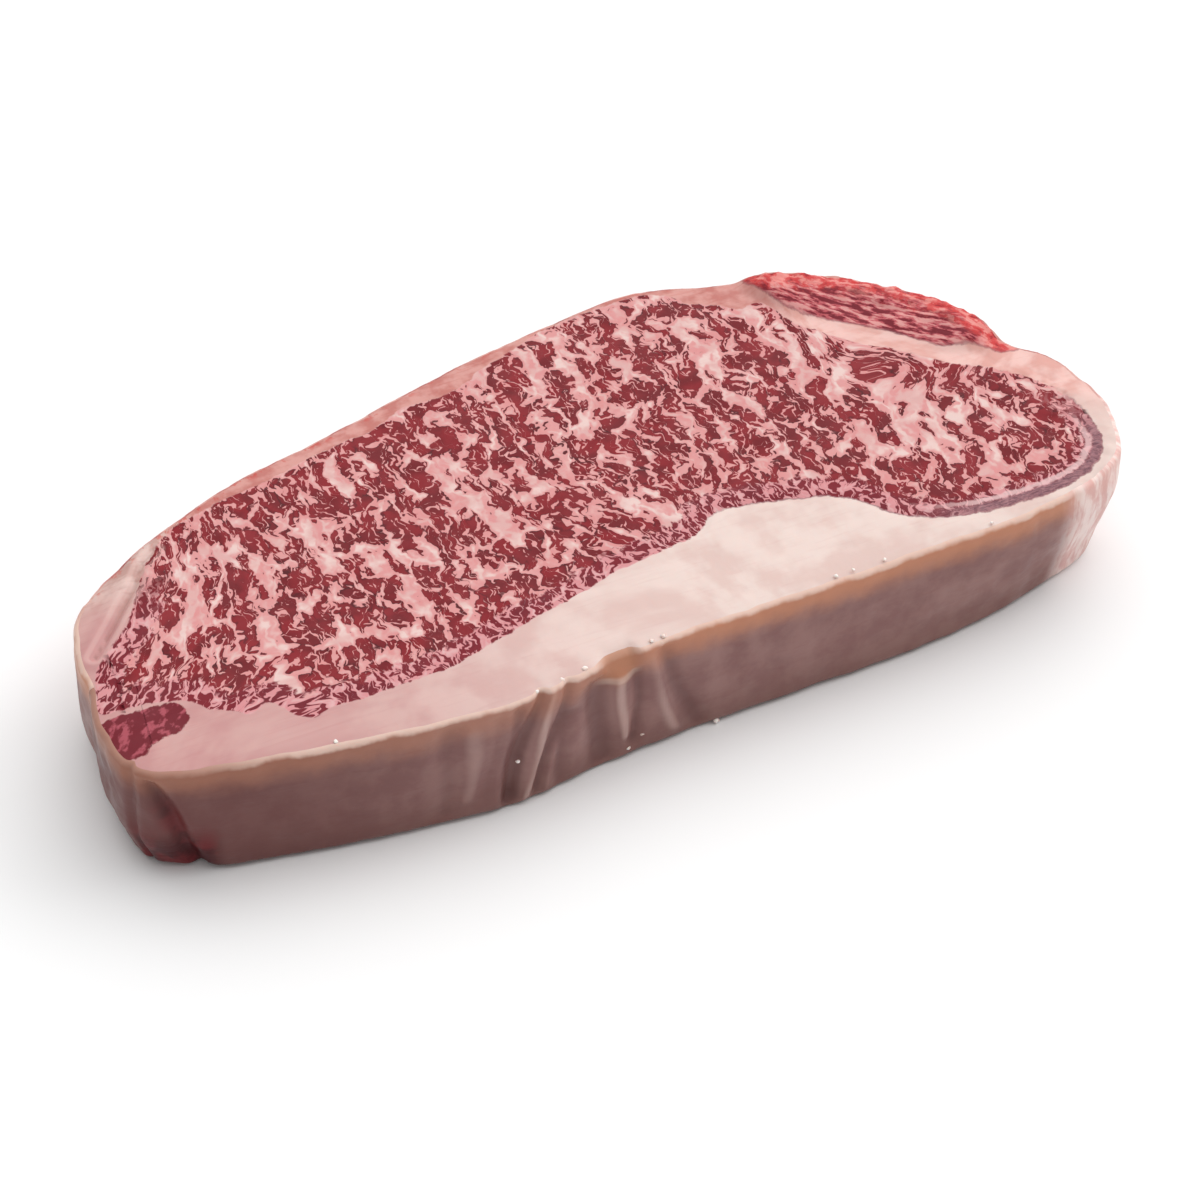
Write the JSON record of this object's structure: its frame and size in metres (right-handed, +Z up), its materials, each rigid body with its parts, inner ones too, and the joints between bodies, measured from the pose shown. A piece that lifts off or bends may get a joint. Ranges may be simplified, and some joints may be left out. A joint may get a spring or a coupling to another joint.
{
  "type": "raw sirloin steak",
  "caption": "Thick raw boneless steak with heavy white marbling, a fat cap along the front edge and a small side muscle at the back.",
  "frame": {"origin": "middle of the slab's footprint, on the surface it lies on", "axes": "+X along the slab from its narrow tail to its point, +Y from the fat cap to the back edge, +Z up through the thickness"},
  "size_m": [0.2509, 0.119, 0.0362],
  "materials": {
    "meat": "moist, marbled dark red lean and pale pink fat"
  },
  "bodies": {
    "root": {"steak": "meat"}
  },
  "joints": []
}
